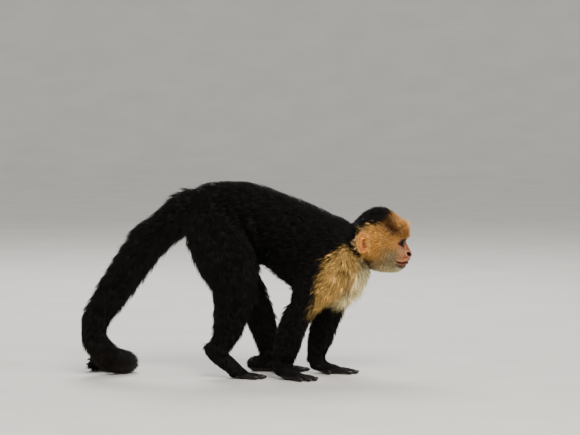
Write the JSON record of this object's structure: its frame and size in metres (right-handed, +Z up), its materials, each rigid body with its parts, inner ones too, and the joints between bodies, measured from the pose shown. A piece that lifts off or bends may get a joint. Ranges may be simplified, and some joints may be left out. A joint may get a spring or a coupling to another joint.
{
  "type": "capuchin monkey model",
  "caption": "Still life-size capuchin monkey, walking on all fours with arched back, low level head and the end of its long furred tail laid on the ground.",
  "frame": {"origin": "on the floor, under the middle of the animal's whole box", "axes": "+X ahead, the way the animal walks and looks; +Y to the animal's left; +Z up"},
  "size_m": [0.5652, 0.1962, 0.3326],
  "materials": {
    "black_coat": "matte, long black hair with a faint brown sheen",
    "mantle_coat": "matte, cream to golden tan hair",
    "face": "bare pink-brown skin under short pale hair",
    "ear": "thin pink-brown skin",
    "hand_skin": "bare dark grey-brown skin, finely creased",
    "eye": "glossy dark brown eye",
    "nail": "smooth dark horn"
  },
  "bodies": {
    "root": {"head": "face", "neck": "mantle_coat", "chest": "black_coat", "loins": "black_coat", "tail_root": "black_coat", "tail_bend": "black_coat", "tail_end": "black_coat", "right_ear": "ear", "left_ear": "ear", "right_eye": "eye", "left_eye": "eye", "right_upper_arm": "mantle_coat", "right_forearm": "black_coat", "right_hand": "hand_skin", "left_upper_arm": "mantle_coat", "left_forearm": "black_coat", "left_hand": "hand_skin", "right_thigh": "black_coat", "right_shank": "black_coat", "right_foot": "hand_skin", "left_thigh": "black_coat", "left_shank": "black_coat", "left_foot": "hand_skin"}
  },
  "joints": []
}
